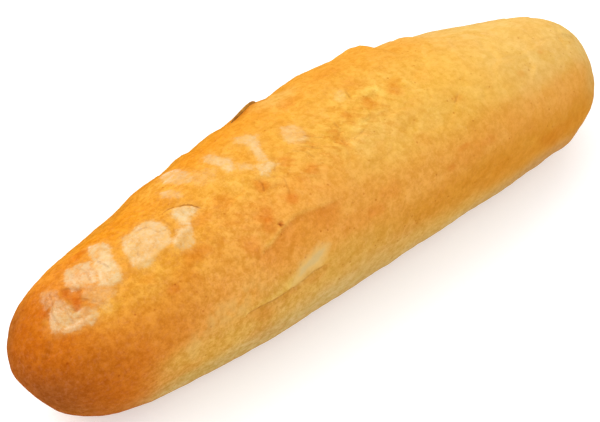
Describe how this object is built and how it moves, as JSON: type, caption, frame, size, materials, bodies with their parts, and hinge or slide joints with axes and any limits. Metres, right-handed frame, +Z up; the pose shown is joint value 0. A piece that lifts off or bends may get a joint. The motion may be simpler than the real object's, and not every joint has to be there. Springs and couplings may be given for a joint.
{
  "type": "baguette",
  "caption": "Short, plump baguette with blunt ends: a whole crusty white loaf, golden on the crown, resting on a narrow flat strip under its belly.",
  "frame": {"origin": "middle of the loaf's outline, on the surface it rests on", "axes": "+X along the loaf towards its paler end, +Y towards its back, +Z up"},
  "size_m": [0.25, 0.0706, 0.0598],
  "materials": {
    "crust": "thin golden bread crust, glazed and crazed on the crown, duller and paler along the sides"
  },
  "bodies": {
    "root": {"loaf": "crust"}
  },
  "joints": []
}
